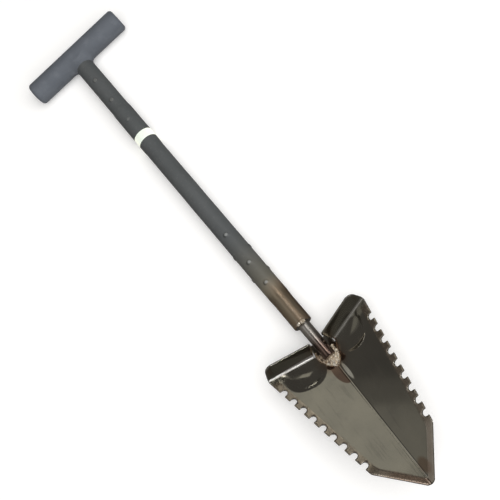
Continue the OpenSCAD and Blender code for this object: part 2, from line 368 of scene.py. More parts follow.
class Nodes:
    """A short way to build one material's node tree."""

    def __init__(self, name):
        self.material = bpy.data.materials.new(name)
        self.material.use_nodes = True
        self.tree = self.material.node_tree
        self.shader = self.tree.nodes["Principled BSDF"]
        self.place = self.tree.nodes.new("ShaderNodeTexCoord").outputs["Object"]

    def node(self, kind, **inputs):
        made = self.tree.nodes.new(kind)
        self.fill(made, **inputs)
        return made

    def fill(self, node, **inputs):
        """Sets or links inputs, given as Input_Name=value, or as _0=value for the first."""
        for key, value in inputs.items():
            self.put(node.inputs[int(key[1:]) if key[0] == "_" else key.replace("_", " ")], value)

    def put(self, socket, value):
        if isinstance(value, bpy.types.NodeSocket):
            self.tree.links.new(value, socket)
        else:
            socket.default_value = value

    def stretched(self, x, y, z):
        """Object coordinates scaled along each axis, for grain that runs one way."""
        return self.node("ShaderNodeMapping", Vector=self.place, Scale=(x, y, z)).outputs[0]

    def noise(self, scale, detail=4, roughness=0.55, place=None):
        made = self.node("ShaderNodeTexNoise", Scale=scale, Detail=detail, Roughness=roughness)
        self.fill(made, Vector=place or self.place)
        return made.outputs["Fac"]

    def cells(self, scale):
        return self.node("ShaderNodeTexVoronoi", Vector=self.place, Scale=scale).outputs["Distance"]

    def ramp(self, value, *stops):
        """Maps a value through (position, level or colour) stops."""
        made = self.node("ShaderNodeValToRGB", Fac=value)
        elements = made.color_ramp.elements
        while len(elements) < len(stops):
            elements.new(0.5)
        for element, (position, level) in zip(elements, stops):
            element.position = position
            rgb = level if isinstance(level, tuple) else (level,) * 3
            element.color = (*rgb, 1)
        return made.outputs["Color"]

    def patches(self, value, low, high):
        """0 where the value is under low, rising in a line to 1 at high."""
        return self.ramp(value, (low, 0.0), (high, 1.0))

    def math(self, operation, a, b=0.0):
        made = self.node("ShaderNodeMath", _0=a, _1=b)
        made.operation = operation
        return made.outputs[0]

    def times(self, a, b):
        return self.math("MULTIPLY", a, b)

    def scaled(self, value, gain, base):
        """base + gain * value"""
        return self.math("ADD", self.times(value, gain), base)

    def opposite(self, value):
        """1 - value"""
        return self.math("SUBTRACT", 1.0, value)

    def mix(self, factor, a, b):
        made = self.tree.nodes.new("ShaderNodeMix")
        made.data_type = "RGBA"
        for socket, value in zip((0, 6, 7), (factor, a, b)):
            colour = (*value, 1) if isinstance(value, tuple) else value
            self.put(made.inputs[socket], colour)
        return made.outputs[2]

    def tint(self, body, mask, strength, colour):
        """Lays a colour over the body where the mask is, at a share of full strength."""
        return self.mix(self.times(mask, strength), body, colour)

    def rising(self, value, low, high):
        """Goes smoothly from 0 at low to 1 at high."""
        made = self.node("ShaderNodeMapRange", Value=value, From_Min=low, From_Max=high)
        made.interpolation_type = "SMOOTHSTEP"
        return made.outputs[0]

    def distance(self, vector, point=(0, 0, 0)):
        made = self.node("ShaderNodeVectorMath", _0=vector, _1=tuple(point))
        made.operation = "DISTANCE"
        return made.outputs["Value"]

    def near(self, point, inner, outer):
        """1 within inner metres of a point, falling to 0 at outer."""
        return self.rising(self.distance(self.place, point), outer, inner)

    def oval(self, point, half_x, half_y, soft):
        """1 inside an oval seen from above, falling to 0 across its soft share of the radius."""
        scale = (1 / half_x, 1 / half_y, 0)
        shift = tuple(-p * s for p, s in zip(point, scale))
        made = self.node("ShaderNodeMapping", Vector=self.place, Scale=scale, Location=shift)
        return self.rising(self.distance(made.outputs[0]), 1.0, 1.0 - soft)

    def axis(self, name):
        return self.node("ShaderNodeSeparateXYZ", Vector=self.place).outputs[name]

    def attribute(self, name):
        made = self.tree.nodes.new("ShaderNodeAttribute")
        made.attribute_name = name
        return made.outputs["Fac"]

    def bump(self, height, strength, distance, under=None):
        made = self.node("ShaderNodeBump", Height=height, Strength=strength, Distance=distance)
        if under:
            self.put(made.inputs["Normal"], under)
        return made.outputs[0]

    def finish(self, colour, roughness, normal, **others):
        self.fill(self.shader, Base_Color=colour, Roughness=roughness, Normal=normal, **others)
        return self.material


# ---- materials ----

def heat_stains_and_painted_light(n, body):
    """Brown heat colours round the weld and by the point, a dark painted reflection left of the crease,
    and a pale wedge right of the crease that is a painted highlight.

    Also returns the wedge's mask.
    """
    left = n.rising(n.axis("X"), 0.0006, -0.0006)
    right = n.opposite(left)
    # Painted reflection: the dark brown oval by the crease on the left face stands for the stem's
    # reflection.
    lobe = n.times(n.oval(LOBE_MIDDLE, 0.0105, 0.0215, 0.10), left)
    body = n.tint(body, lobe, 0.95, (0.12, 0.072, 0.050))
    # Painted highlight: a pale wedge on the right face beside the crease.
    wedge = n.times(n.oval(WEDGE_MIDDLE, 0.0030, 0.0150, 0.30), right)
    body = n.tint(body, wedge, 0.9, (0.95, 0.93, 0.80))
    stain = n.times(n.oval(POINT_STAIN_MIDDLE, 0.0085, 0.0135, 0.5), right)
    body = n.tint(body, stain, 0.85, (0.24, 0.17, 0.12))
    burnt = n.times(n.oval(BURNT_EDGE_MIDDLE, 0.038, 0.032, 0.5), n.attribute("ground"))
    body = n.tint(body, n.times(burnt, left), 0.85, (0.17, 0.115, 0.08))
    halo = n.times(n.near(WELD_MIDDLE, 0.012, 0.028), n.scaled(n.noise(60, 3), 0.7, 0.25))
    return n.mix(halo, body, (0.26, 0.175, 0.12)), wedge


def blade_steel():
    """Dark tempered sheet under clear coat, with handling marks and heat tint by the weld."""
    n = Nodes("blade_steel")
    cloud = n.noise(18, 5)
    body = n.mix(n.patches(cloud, 0.35, 0.7), (0.31, 0.30, 0.26), (0.36, 0.345, 0.295))
    blotch = n.patches(n.noise(55, 3, 0.6), 0.60, 0.75)
    body = n.tint(body, blotch, 0.25, (0.22, 0.215, 0.20))
    ground = n.attribute("ground")
    body = n.mix(ground, body, n.mix(n.noise(140, 4), (0.27, 0.225, 0.175), (0.36, 0.31, 0.245)))
    body, wedge = heat_stains_and_painted_light(n, body)
    body = n.mix(n.attribute("cut"), body, (0.50, 0.48, 0.43))
    scratches = n.patches(n.noise(1, 2, 0.5, n.stretched(260, 14, 40)), 0.60, 0.68)
    wear = n.times(n.attribute("edge"), n.patches(n.noise(220, 3), 0.42, 0.62))
    body = n.tint(body, wear, 0.55, (0.52, 0.49, 0.42))
    smudge = n.patches(n.noise(30, 4, 0.65), 0.35, 0.75)
    rough = n.scaled(smudge, 0.06, 0.07)
    rough = n.scaled(scratches, 0.05, rough)
    rough = n.scaled(ground, 0.12, rough)
    # Painted highlight: the fold band is tinted near white, and also made rougher.
    fold = n.attribute("fold")
    body = n.tint(body, fold, 0.9, (0.88, 0.86, 0.83))
    rough = n.scaled(fold, 0.26, rough)
    wave = n.bump(n.noise(9, 2), 0.25, 0.0008)
    peel = n.bump(n.noise(420, 2), 0.02, 0.0002, wave)
    lines = n.noise(1, 2, 0.5, n.stretched(900, 900, 60))
    lines = n.times(lines, ground)
    normal = n.bump(n.scaled(scratches, 0.2, lines), 0.12, 0.0002, peel)
    # The painted highlight wedge is made less metallic, so that it takes up more of the wash.
    metal = n.opposite(n.times(wedge, 0.20))
    return n.finish(body, rough, normal, Metallic=metal, Coat_Weight=0.6, Coat_Roughness=0.05)


TUBE_DARK = (0.22, 0.16, 0.11)
TUBE_BROWN = (0.38, 0.29, 0.20)
TUBE_OLIVE = (0.36, 0.335, 0.25)


def stem_steel():
    """Polished bar, brown-black with heat tint and painted shade towards the weld, duller by the mouth
    and painted paler there as a painted highlight, with fine draw lines.
    """
    n = Nodes("stem_steel")
    streak = n.noise(1, 4, 0.6, n.stretched(420, 18, 420))
    body = n.mix(streak, (0.29, 0.265, 0.235), (0.48, 0.45, 0.405))
    # Towards the weld: heat tint, and painted shade where the bar's highlight fades.
    body = n.tint(body, n.near(WELD_MIDDLE, 0.014, 0.046), 0.9, (0.17, 0.105, 0.08))
    # Painted highlight: the bar is tinted pale by the mouth, and made rougher there.
    mouth_highlight = n.near(MOUTH_MIDDLE, 0.010, 0.036)
    body = n.tint(body, mouth_highlight, 0.6, (0.62, 0.59, 0.54))
    rough = n.scaled(n.noise(90, 3), 0.10, 0.12)
    rough = n.scaled(mouth_highlight, 0.16, rough)
    normal = n.bump(streak, 0.10, 0.0002, n.bump(n.noise(25, 2), 0.2, 0.0006))
    return n.finish(body, rough, normal, Metallic=1.0, Coat_Weight=0.25, Coat_Roughness=0.08)


def temper_colours(n):
    """Brown to olive heat colours in long streaks along the tube, and the streaks themselves."""
    band = n.noise(1, 3, 0.5, n.stretched(55, 5, 55))
    streak = n.noise(1, 4, 0.6, n.stretched(300, 10, 300))
    body = n.ramp(band, (0.36, TUBE_DARK), (0.47, TUBE_BROWN), (0.60, TUBE_OLIVE))
    return n.tint(body, streak, 0.35, TUBE_DARK), streak


def tube_steel():
    """Bronze-brown tube under clear coat, with heat colours and fine draw lines."""
    n = Nodes("tube_steel")
    body, streak = temper_colours(n)
    rough = n.scaled(n.noise(70, 4), 0.14, 0.33)
    pores = n.bump(n.noise(500, 3), 0.10, 0.0002)
    normal = n.bump(streak, 0.10, 0.0002, pores)
    return n.finish(body, rough, normal, Metallic=0.9, Coat_Weight=0.3, Coat_Roughness=0.12)


def weld_metal():
    """Raw cream-coloured weld, sooty in patches and brown along its left arm."""
    n = Nodes("weld_metal")
    body = n.ramp(
        n.noise(210, 4), (0.30, (0.36, 0.25, 0.17)), (0.45, (0.84, 0.71, 0.53)),
        (0.60, (1.0, 0.94, 0.82)), (0.78, (0.60, 0.47, 0.39)),
    )
    soot = n.patches(n.noise(250, 3), 0.52, 0.62)
    body = n.tint(body, soot, 0.75, (0.15, 0.10, 0.07))
    arm = n.near(WELD_ARM_MIDDLE, 0.009, 0.019)
    body = n.tint(body, arm, 0.8, (0.33, 0.235, 0.155))
    rough = n.scaled(n.noise(400, 3), 0.16, 0.10)
    ripple = n.bump(n.noise(260, 3), 0.85, 0.0016)
    normal = n.bump(n.cells(600), 0.25, 0.0004, ripple)
    return n.finish(body, rough, normal, Metallic=0.70, Coat_Weight=0.5, Coat_Roughness=0.1)


def mill_steel(name, tone):
    """Plain steel of hidden parts and pins."""
    n = Nodes(name)
    streak = n.noise(1, 4, 0.6, n.stretched(300, 30, 300))
    dark = tuple(tone * c for c in (0.62, 0.60, 0.56))
    body = n.mix(streak, dark, (tone, tone * 0.98, tone * 0.94))
    rough = n.scaled(n.noise(120, 4), 0.25, 0.25)
    return n.finish(body, rough, n.bump(streak, 0.15, 0.0003), Metallic=1.0)


def sleeve_rubber():
    """Shrunk sleeve: satin dark grey rubber, stretched so thin at its lower end that the tube shows."""
    n = Nodes("sleeve_rubber")
    cloud = n.noise(16, 5, 0.6)
    body = n.mix(cloud, (0.062, 0.067, 0.068), (0.098, 0.104, 0.105))
    dust = n.patches(n.noise(240, 5, 0.7), 0.55, 0.75)
    body = n.tint(body, dust, 0.35, (0.16, 0.165, 0.165))
    low = float(shaft_point(MOUTH + SLEEVE_START, 0, 0)[1])
    tube_body, streak = temper_colours(n)
    olive = n.opposite(n.rising(n.axis("Y"), low + 0.02, low + 0.11))
    body = n.tint(body, olive, 0.75, (0.125, 0.115, 0.085))
    fade = n.opposite(n.rising(n.axis("Y"), low - 0.002, low + 0.036))
    thin = n.math("MINIMUM", n.times(fade, n.scaled(streak, 0.5, 0.9)), 1.0)
    body = n.mix(thin, body, tube_body)
    # At the pin bumps: a painted shade on one side and a painted highlight on each crest.
    wear_and_sheen, painted_shade_side = n.attribute("wear_and_sheen"), n.attribute("painted_shade_side")
    body = n.tint(body, painted_shade_side, 0.85, (0.018, 0.019, 0.018))
    body = n.tint(body, wear_and_sheen, 0.60, (0.34, 0.35, 0.34))
    rough = n.scaled(n.noise(60, 4), 0.16, 0.36)
    rough = n.math("SUBTRACT", rough, n.times(n.math("MAXIMUM", thin, wear_and_sheen), 0.10))
    wrinkle = n.bump(n.noise(1, 3, 0.5, n.stretched(160, 30, 160)), 0.25, 0.0004)
    normal = n.bump(n.noise(1400, 3), 0.16, 0.0002, wrinkle)
    return n.finish(body, rough, normal, Metallic=n.times(thin, 0.9))


def grip_rubber():
    """Matte slate moulded rubber with a fine pebble grain and paler rubbed patches."""
    n = Nodes("grip_rubber")
    cloud = n.noise(22, 5, 0.6)
    body = n.mix(cloud, (0.082, 0.092, 0.108), (0.125, 0.138, 0.158))
    wear_and_sheen = n.patches(n.noise(75, 5, 0.65), 0.50, 0.78)
    body = n.tint(body, wear_and_sheen, 0.30, (0.20, 0.215, 0.24))
    rough = n.scaled(n.noise(90, 4), 0.18, 0.52)
    pebble = n.bump(n.cells(900), 0.30, 0.0003)
    normal = n.bump(n.noise(2200, 2), 0.2, 0.0002, pebble)
    return n.finish(body, rough, normal)


def marker_plastic():
    """Pale ring, greenish white, with a painted shade along its front and a glow that is painted light.
    """
    n = Nodes("marker")
    body = n.mix(n.noise(60, 4), (0.80, 0.83, 0.69), (0.93, 0.95, 0.84))
    # Painted shade: the front of the ring is painted duller than its sides.
    body = n.tint(body, n.attribute("front"), 0.9, (0.59, 0.64, 0.57))
    grime = n.patches(n.noise(260, 4, 0.7), 0.56, 0.74)
    body = n.tint(body, grime, 0.3, (0.42, 0.43, 0.36))
    rough = n.scaled(n.noise(110, 3), 0.2, 0.32)
    normal = n.bump(n.noise(700, 3), 0.15, 0.0002)
    # The emission is painted light, a glow that brightens the ring.
    return n.finish(body, rough, normal, Emission_Color=body, Emission_Strength=0.55)


def plug_plastic():
    n = Nodes("plug_plastic")
    body = n.mix(n.noise(80, 4), (0.018, 0.018, 0.018), (0.045, 0.045, 0.045))
    rough = n.scaled(n.noise(200, 3), 0.2, 0.4)
    return n.finish(body, rough, n.bump(n.noise(900, 2), 0.2, 0.0002))


# ---- blade, laid flat ----


def rounded_path(corners, step, arc_step):
    """A path through (x, y, radius) corners, with each corner turned into an arc.

    The first and last corners stay sharp. Lines are split at most step apart.
    """
    points = [corners[0][:2]]
    for before, here, after in zip(corners, corners[1:], corners[2:]):
        p = np.array(here[:2], float)
        a = np.array(before[:2], float) - p
        b = np.array(after[:2], float) - p
        a /= np.linalg.norm(a)
        b /= np.linalg.norm(b)
        opening = math.acos(float(np.clip(a @ b, -1, 1)))
        turn = math.pi - opening
        if here[2] <= 0 or turn < 1e-3:
            points.append(tuple(p))
            continue
        centre = p + (a + b) / np.linalg.norm(a + b) * here[2] / math.sin(opening / 2)
        first = p + a * here[2] / math.tan(opening / 2) - centre
        side = math.copysign(1, first[1] * a[0] - first[0] * a[1])
        count = max(3, math.ceil(turn * here[2] / arc_step))
        for t in np.linspace(0, side * turn, count + 1):
            points.append((
                centre[0] + first[0] * math.cos(t) - first[1] * math.sin(t),
                centre[1] + first[0] * math.sin(t) + first[1] * math.cos(t),
            ))
    points.append(corners[-1][:2])
    return densify(points, step)


STEP_FLAT = FOLD_R * STEP_ANGLE + STEP_H - FOLD_R
SIDE_RUN = FOLD_HALF_W - SHOULDER_HALF_W
SIDE_LEN = math.hypot(SIDE_RUN, SHOULDER_DIST)
DOWN_SIDE = np.array([-SIDE_RUN, -SHOULDER_DIST]) / SIDE_LEN
SIDE_IN = np.array([-SHOULDER_DIST, SIDE_RUN]) / SIDE_LEN
POINT_DROP = BLADE_LEN - SHOULDER_DIST
POINT_RUN = SHOULDER_HALF_W - POINT_HALF_W


def side_point(dist, depth):
    """A point on the serrated side: a distance down it from the fold, and a depth inwards."""
    return tuple(np.array([FOLD_HALF_W, 0]) + DOWN_SIDE * dist + SIDE_IN * depth)


def half_outline():
    """Right half of the sheet laid flat, from the middle of the tongue round to the point."""
    tongue_half_w = STEP_START - SLIT_W
    corners = [
        (0, TONGUE_LEN, 0),
        (tongue_half_w, TONGUE_LEN, TONGUE_CORNER_R),
        (tongue_half_w, -SLIT_W / 2, SLIT_W / 2 - SLACK),
        (STEP_START, -SLIT_W / 2, SLIT_W / 2 - SLACK),
        (STEP_START, STEP_FLAT, SHEET_T),
        (FOLD_HALF_W, STEP_FLAT, STEP_CORNER_R),
        (FOLD_HALF_W, 0, FOLD_CORNER_R),
    ]
    for index in range(GULLET_COUNT):
        middle = GULLET_FIRST + index * GULLET_PITCH
        for edge, depth, radius in (
            (-0.5, 0, TOOTH_R), (-0.5, GULLET_DEPTH, GULLET_W / 2 - SLACK),
            (0.5, GULLET_DEPTH, GULLET_W / 2 - SLACK), (0.5, 0, TOOTH_R),
        ):
            corners.append((*side_point(middle + edge * GULLET_W, depth), radius))
    corners += [
        (SHOULDER_HALF_W, -SHOULDER_DIST, SHOULDER_R),
        (POINT_HALF_W + 0.5, -BLADE_LEN + 1.2, POINT_CORNER_R),
        (0, -BLADE_LEN, 0),
    ]
    return rounded_path(corners, OUTLINE_STEP, OUTLINE_ARC_STEP)


def mirrored(path):
    """The path carried on round its mirror image, as one closed loop."""
    return path + [(-x, y) for x, y in reversed(path[1:-1])]


def strip_line():
    """Inner border of the ground strips, from the right fold round to the left one."""
    start = side_point(-1, SIDE_STRIP_W)
    shoulder_in = np.array([SHOULDER_HALF_W, -SHOULDER_DIST])
    point_len = math.hypot(POINT_RUN, POINT_DROP)
    down_point = np.array([-POINT_RUN, -POINT_DROP]) / point_len
    point_in = np.array([-POINT_DROP, POINT_RUN]) / point_len
    gap = (shoulder_in + point_in * POINT_STRIP_W) - np.array(start)
    reach = np.linalg.det([gap, down_point]) / np.linalg.det([DOWN_SIDE, down_point])
    corner = np.array(start) + DOWN_SIDE * reach
    tip_y = corner[1] + corner[0] * down_point[1] / -down_point[0]
    corners = [(*start, 0), (*corner, STRIP_CORNER_R), (0, tip_y, 0)]
    half = rounded_path(corners, STRIP_STEP, STRIP_STEP)
    return half + [(-x, y) for x, y in reversed(half[:-1])]


def distance_to_path(points, path):
    """Shortest distance of many points to a path of straight lines."""
    best = np.full(len(points), 1e9)
    path = np.array(path)
    for a, b in zip(path, path[1:]):
        line = b - a
        t = np.clip(((points - a) @ line) / (line @ line), 0, 1)
        best = np.minimum(best, np.linalg.norm(points - a - t[:, None] * line, axis=1))
    return best


def inside_loop(points, loop):
    """True for each point inside a closed loop."""
    x, y = points[:, 0], points[:, 1]
    inside = np.zeros(len(points), bool)
    for (ax, ay), (bx, by) in zip(loop, loop[1:] + loop[:1]):
        if ay == by:
            continue
        crosses = (ay > y) != (by > y)
        inside ^= crosses & (x < (bx - ax) * (y - ay) / (by - ay) + ax)
    return inside


def inset(loop, depth):
    """The closed loop moved inwards by depth; it runs clockwise."""
    p = np.array(loop)
    ahead = np.roll(p, -1, axis=0) - p
    ahead /= np.linalg.norm(ahead, axis=1)[:, None]
    behind = np.roll(ahead, 1, axis=0)
    normal = np.stack([ahead[:, 1] + behind[:, 1], -ahead[:, 0] - behind[:, 0]], axis=1)
    scale = 2 / (normal ** 2).sum(axis=1).clip(0.5)
    return p + normal * scale[:, None] * depth


OUTLINE = mirrored(half_outline())
STRIP = strip_line()
PAST_STEPS = 60
STRIP_LOOP = STRIP + [(STRIP[-1][0], PAST_STEPS), (STRIP[0][0], PAST_STEPS)]


def beyond_strip(flat):
    """Distance past the border of the ground strip, negative on the face inside it."""
    apart = distance_to_path(flat, STRIP)
    return np.where(inside_loop(flat, STRIP_LOOP), -apart, apart)


def hollow_depth(flat):
    """Depth of the two half-moon dishes, which run in from the fold and end at a curved lip."""
    u, w = np.abs(flat[:, 0]), flat[:, 1]
    from_middle = np.hypot(u - HOLLOW_MID, w + HOLLOW_BELOW_FOLD)
    lip = HOLLOW_LIP * smooth_step((HOLLOW_R - from_middle) / HOLLOW_WALL)
    off_dish = ((u - DISH_MID) / DISH_HALF_W) ** 2 + ((w + HOLLOW_BELOW_FOLD) / HOLLOW_R) ** 2
    dish = HOLLOW_DISH * np.maximum(1 - off_dish, 0) ** 1.5
    run_in = 1 - np.clip(1 + w / HOLLOW_RUN_IN, 0, 1) ** 2
    beside = smooth_step(-beyond_strip(flat) / HOLLOW_SIDE)
    return np.where(w < 0, (lip + dish) * run_in * beside, 0)


def ground_depth(flat):
    """Metal ground away along the edges: deepest at the edge, none at the folds."""
    run_out = smooth_step((-flat[:, 1] - 1) / GROUND_RUN_OUT)
    strip = np.minimum(GROUND_DEPTH * beyond_strip(flat) / SIDE_STRIP_W, GROUND_DEPTH)
    return np.maximum(strip, 0) * run_out


def fold_highlight_band(flat):
    """Band along the two folds for a painted highlight on a rougher finish, stronger on the left, that
    narrows towards the sides.
    """
    u, w = np.abs(flat[:, 0]), flat[:, 1]
    band = FOLD_BAND_W - FOLD_BAND_NARROWING * (u - STEP_START) / (FOLD_HALF_W - STEP_START)
    above_low = smooth_step((w - FOLD_BAND_LOW) / FOLD_BAND_SOFT)
    wear_and_sheen = above_low * smooth_step((band - w) / FOLD_BAND_SOFT) * (u > STEP_START)
    # The right fold gets less of the painted highlight, as it catches less light.
    return wear_and_sheen * np.where(flat[:, 0] < 0, 1.0, FOLD_BAND_ON_RIGHT)


def bent_surface(flat, depth):
    """Flat points at a depth below the sheet's hollow side, bent to shape in the row frame."""
    u, w = np.abs(flat[:, 0]), flat[:, 1]
    side = np.where(flat[:, 0] < 0, -1.0, 1.0)
    on_step = (w > 0) & (u > STEP_START - SLIT_W / 2)
    bend = np.clip(w / FOLD_R, 0, STEP_ANGLE)
    rest = np.maximum(w - FOLD_R * STEP_ANGLE, 0)
    v = np.where(on_step, (FOLD_R + depth) * np.sin(bend) + rest * np.cos(bend), w)
    height = np.where(on_step, FOLD_R - (FOLD_R + depth) * np.cos(bend) + rest * np.sin(bend), -depth)
    tangent = CREASE_R * math.tan(FACE_ANGLE)
    turn = FACE_ANGLE * np.clip(u / tangent, 0, 1)
    on_crease = u < tangent
    across, up = tilted(u, height)
    across = np.where(on_crease, (CREASE_R - height) * np.sin(turn), across)
    up = np.where(on_crease, CREASE_MID_Z - (CREASE_R - height) * np.cos(turn), up)
    return row_point(side * across, v, up)


def inner_points(loop):
    """Points that fill the sheet, closer together at the crease, the folds and the hollows."""
    tangent = CREASE_R * math.tan(FACE_ANGLE)
    fold_end = FOLD_R * STEP_ANGLE
    half_columns = np.concatenate([
        np.linspace(0, tangent, 8), np.arange(tangent + 0.7, HOLLOW_MID + HOLLOW_R - 5, FINE_STEP),
        np.arange(HOLLOW_MID + HOLLOW_R - 4, FOLD_HALF_W, COARSE_COLUMN_STEP),
    ])
    columns = np.concatenate([-half_columns[:0:-1], half_columns])
    rows = np.concatenate([
        np.arange(-BLADE_LEN, -HOLLOW_R - 5, COARSE_ROW_STEP), np.arange(-HOLLOW_R - 4, 0, FINE_STEP),
        np.linspace(0, fold_end, 18), np.arange(fold_end + 1.5, STEP_FLAT, COARSE_ROW_STEP),
    ])
    fewer = columns[(np.abs(columns) <= tangent + 0.1) | (np.arange(len(columns)) % 2 == 0)]
    points = np.array([
        (column, row) for row in rows
        for column in (columns if -HOLLOW_R - 3 <= row <= 0 else fewer)
    ])
    points = points[inside_loop(points, loop)]
    return points[distance_to_path(points, loop + loop[:1]) > BORDER_GAP]


def hollow_lines():
    """Arcs along the hollows' walls, which keep their curved rims crisp."""
    lines = []
    for inward in np.linspace(-0.6, HOLLOW_WALL + 0.5, 8):
        path = np.array(arc((HOLLOW_MID, -HOLLOW_BELOW_FOLD), HOLLOW_R - inward, -178, -2, 70))
        path = path[(beyond_strip(path) < -0.9) & (path[:, 1] < -0.8)]
        lines += [path, path * (-1, 1)]
    return lines


def blade_patch():
    """Triangles of the sheet laid flat, with its border loop listed first."""
    border = inset(OUTLINE, EDGE_ROUND)
    loop = [tuple(p) for p in border]
    strip = np.array(STRIP)
    strip = strip[inside_loop(strip, loop)]
    strip = strip[distance_to_path(strip, loop + loop[:1]) > LINE_GAP]
    arcs = hollow_lines()
    filled = inner_points(loop)
    filled = filled[distance_to_path(filled, STRIP) > LINE_GAP]
    for line in arcs:
        filled = filled[distance_to_path(filled, line) > ARC_GAP]
    flat = np.concatenate([border, strip, *arcs, filled])
    edges, start = [], len(border)
    for line in [strip, *arcs]:
        for i in range(len(line) - 1):
            if math.dist(line[i], line[i + 1]) < LONGEST_LINK:
                edges.append((start + i, start + i + 1))
        start += len(line)
    ring = list(range(len(border)))
    made = delaunay_2d_cdt([Vector(p) for p in flat], edges, [ring[::-1]], 1, 1e-5)
    return np.array(made[0]), [tuple(f) for f in made[2]], len(border)


def blade(material):
    """The sheet: its two faces, joined round the outline by a rounded edge."""
    flat, triangles, border = blade_patch()
    count = len(flat)
    strip_depth, hollow = ground_depth(flat), hollow_depth(flat)
    points = [bent_surface(flat, strip_depth + hollow), bent_surface(flat, SHEET_T + hollow)]
    faces = [*triangles, *[tuple(i + count for i in reversed(t)) for t in triangles]]
    rings, start = [list(range(border))], 2 * count
    mid = 0.293  # halfway round a quarter arc: 1 - cos 45 degrees
    profile = [(mid, mid, False), (0, 1, False), (0, -1, True), (mid, -mid, True)]
    cuts = [np.zeros(2 * count)]
    for depth_in, depth_down, under in profile:
        ring = inset(OUTLINE, EDGE_ROUND * depth_in)
        level = (SHEET_T if under else ground_depth(ring)) + hollow_depth(ring)
        points.append(bent_surface(ring, level + EDGE_ROUND * depth_down))
        cuts.append(np.full(border, 1.0 if depth_in == 0 else 0.6))
        rings.append(list(range(start, start + border)))
        start += border
    rings.append(list(range(count, count + border)))
    for upper, lower in zip(rings, rings[1:]):
        for i in range(border):
            k = (i + 1) % border
            faces.append((upper[i], upper[k], lower[k], lower[i]))
    piece = mesh_object("blade_sheet", np.concatenate(points), faces)
    outward(piece)
    flat_all = np.concatenate([flat, flat] + [np.array(OUTLINE)] * len(profile))
    beyond = beyond_strip(flat_all)
    on_top = np.arange(len(flat_all)) < count
    to_edge = distance_to_path(flat_all, OUTLINE + OUTLINE[:1])
    below_fold = smooth_step((-flat_all[:, 1] - 3) / 5)
    write_masks(piece, {
        "ground": on_top * smooth_step(beyond / GROUND_RIM + 0.5) * below_fold,
        "edge": np.exp(-to_edge / EDGE_WEAR_W),
        "cut": np.concatenate(cuts),
        "fold": on_top * fold_highlight_band(flat_all),
    })
    piece.data.shade_smooth()
    piece.data.set_sharp_from_angle(angle=math.radians(50))
    sharpen(piece, (np.abs(beyond) < 0.02) & on_top)
    finish_piece(piece, "blade", material)


def sharpen(piece, chosen):
    """Marks the edges between chosen points as sharp."""
    layers = piece.data.attributes
    flags = layers.get("sharp_edge") or layers.new("sharp_edge", "BOOLEAN", "EDGE")
    for edge in piece.data.edges:
        a, b = edge.vertices
        if chosen[a] and chosen[b]:
            flags.data[edge.index].value = True


# ---- the shaft ----


def stem_rod(material):
    """Round bar with a rounded end in the weld."""
    chamfer = 1.5
    low, high = STEM_LOW, STEM_HIGH
    profile = [
        (low, AXIS_R), (low, STEM_R - chamfer),
        *arc((low + chamfer, STEM_R - chamfer), chamfer, 180, 90, 6),
        (high, STEM_R), (high, AXIS_R),
    ]
    piece = lathe("stem_bar", densify(profile, 6), 96, closed=False)
    finish_piece(piece, "stem_rod", material)


def shaft_tube(material):
    """Tube with a rounded outer lip and a small inner bevel at its mouth."""
    lip, bevel = 1.2, 0.4
    inner = TUBE_R - TUBE_WALL
    top = GRIP_DIST - TUBE_R - TUBE_TOP_GAP
    profile = [
        (top, inner), (MOUTH + bevel, inner), (MOUTH, inner + bevel),
        *arc((MOUTH + lip, TUBE_R - lip), lip, 180, 90, 7), (top, TUBE_R),
    ]
    piece = lathe("shaft_tube_body", densify(profile, 8), 112, closed=True)
    finish_piece(piece, "shaft_tube", material)


def pin_bumps(dist, angle, pins):
    """Height of the soft bumps where a sleeve passes over the pins' heads."""
    height = np.zeros_like(dist)
    for place, turn in pins:
        round_off = np.abs((angle - turn + math.pi / 2) % math.pi - math.pi / 2) * TUBE_R
        apart = np.hypot(dist - MOUTH - place, round_off)
        height = np.maximum(height, smooth_step((BUMP_R - apart) / BUMP_SLOPE_W))
    return height


def sleeve(name, start, stop, base, pins, peak, marked):
    """Thin skin round the tube: its outer surface follows base(dist) and bulges over the pins.

    marked is the strength of the painted highlight on the bumps' crests and of the painted shade beside
    them.
    """
    outer_r, inner_r = TUBE_R + 0.5, TUBE_R + SLACK
    outer = densify([(stop, outer_r), (start, outer_r)], 0.75)
    inner = [(start, inner_r), (stop, inner_r)]

    def shape(dist, angle, radius):
        """Gives the outer points their true radius and leaves the inner ones as they are."""
        bump = pin_bumps(dist, angle, pins)
        level = base(dist)
        wave = np.sin(dist * 0.11 + 1.3 * np.sin(angle)) * np.sin(2 * angle + dist * 0.017)
        wave = SKIN_WAVE * wave * smooth_step((stop - dist) / 12)
        surface = level + bump * (peak - level) + wave
        return np.where(radius > inner_r, np.maximum(surface, TUBE_R + SKIN_MIN), radius)

    columns = 156
    piece = lathe(name, outer + inner, columns, closed=True, shape=shape)
    dist, angle, _ = turned(outer + inner, columns)
    bump = pin_bumps(dist, angle, pins)
    # Painted shade to one side of each bump, and a painted highlight on its crest.
    beside = pin_bumps(dist, angle + SHADE_OFFSET / TUBE_R, pins) - bump
    crest = smooth_step((bump - CREST_START) / (1 - CREST_START))
    write_masks(piece, {"wear_and_sheen": marked * crest, "painted_shade_side": marked * np.clip(beside, 0, 1)})
    return piece


def lower_sleeve(material):
    """Feathers out on the bare tube, and flares up to the ring."""
    start, stop = MOUTH + SLEEVE_START, MOUTH + RING_DIST
    pins = [(p, 0.0) for p in FRONT_PINS] + [(p, math.pi / 2) for p in SIDE_PINS]

    def base(dist):
        feather = smooth_step((dist - start) / FEATHER_LEN)
        flare = smooth_step((dist - stop + FLARE_START) / FLARE_LEN)
        edge_r = TUBE_R + SKIN_EDGE
        return edge_r + (LOWER_R - edge_r) * feather + (RING_R - LOWER_R) * flare

    piece = sleeve("lower_sleeve_skin", start, stop, base, pins, TUBE_R + 1.35, 1.0)
    finish_piece(piece, "lower_sleeve", material)


